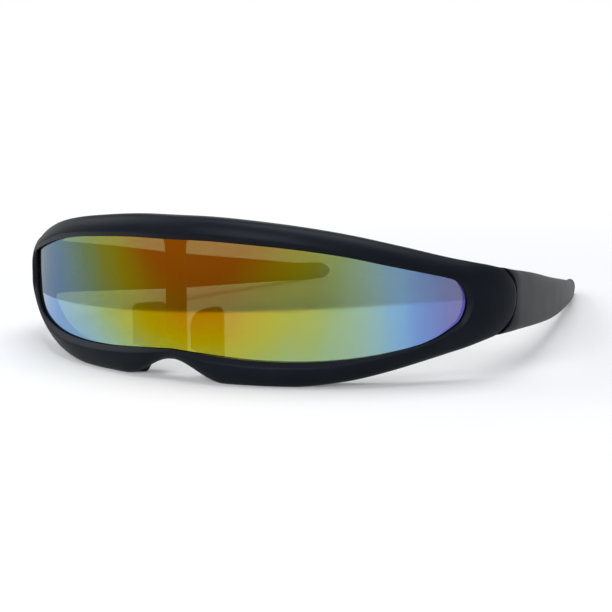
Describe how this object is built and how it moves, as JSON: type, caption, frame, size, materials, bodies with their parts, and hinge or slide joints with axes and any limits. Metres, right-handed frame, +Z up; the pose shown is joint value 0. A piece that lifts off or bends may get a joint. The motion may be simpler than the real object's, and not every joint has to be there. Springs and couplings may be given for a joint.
{
  "type": "shield sunglasses",
  "caption": "Wrap-round shield sunglasses with a full-rim black front, a one-piece mirrored lens and folding arms.",
  "frame": {"origin": "on the table, under the middle of the opened glasses", "axes": "+X to the wearer's left, +Y back along the arms, +Z up; the front faces -Y"},
  "size_m": [0.1496, 0.1572, 0.0407],
  "materials": {
    "matte_black": "matte black moulded plastic",
    "lens_mirror": "smoke-tinted plastic with a gold, green and blue mirror coat",
    "soft_rubber": "soft black rubber",
    "hinge_steel": "plain steel"
  },
  "bodies": {
    "front": {"front_frame": "matte_black", "shield_lens": "lens_mirror", "nose_pad_left": "soft_rubber", "nose_pad_right": "soft_rubber", "endpiece_leaf_left": "hinge_steel", "endpiece_leaf_right": "hinge_steel", "endpiece_screw_near_left": "hinge_steel", "endpiece_screw_far_left": "hinge_steel", "endpiece_screw_near_right": "hinge_steel", "endpiece_screw_far_right": "hinge_steel", "hinge_screw_left": "hinge_steel", "hinge_screw_right": "hinge_steel"},
    "arm_left": {"temple_left": "matte_black", "temple_leaf_left": "hinge_steel", "temple_screw_near_left": "hinge_steel", "temple_screw_far_left": "hinge_steel"},
    "arm_right": {"temple_right": "matte_black", "temple_leaf_right": "hinge_steel", "temple_screw_near_right": "hinge_steel", "temple_screw_far_right": "hinge_steel"}
  },
  "joints": [
    {"name": "hinge_left", "type": "hinge", "parent": "front", "child": "arm_left", "pos_m": [0.06862, -0.03408, 0.01935], "axis": [0, 0.0444, 0.999], "range_deg": [0, 88]},
    {"name": "hinge_right", "type": "hinge", "parent": "front", "child": "arm_right", "pos_m": [-0.06862, -0.03408, 0.01935], "axis": [0, -0.0444, -0.999], "range_deg": [0, 74]}
  ]
}
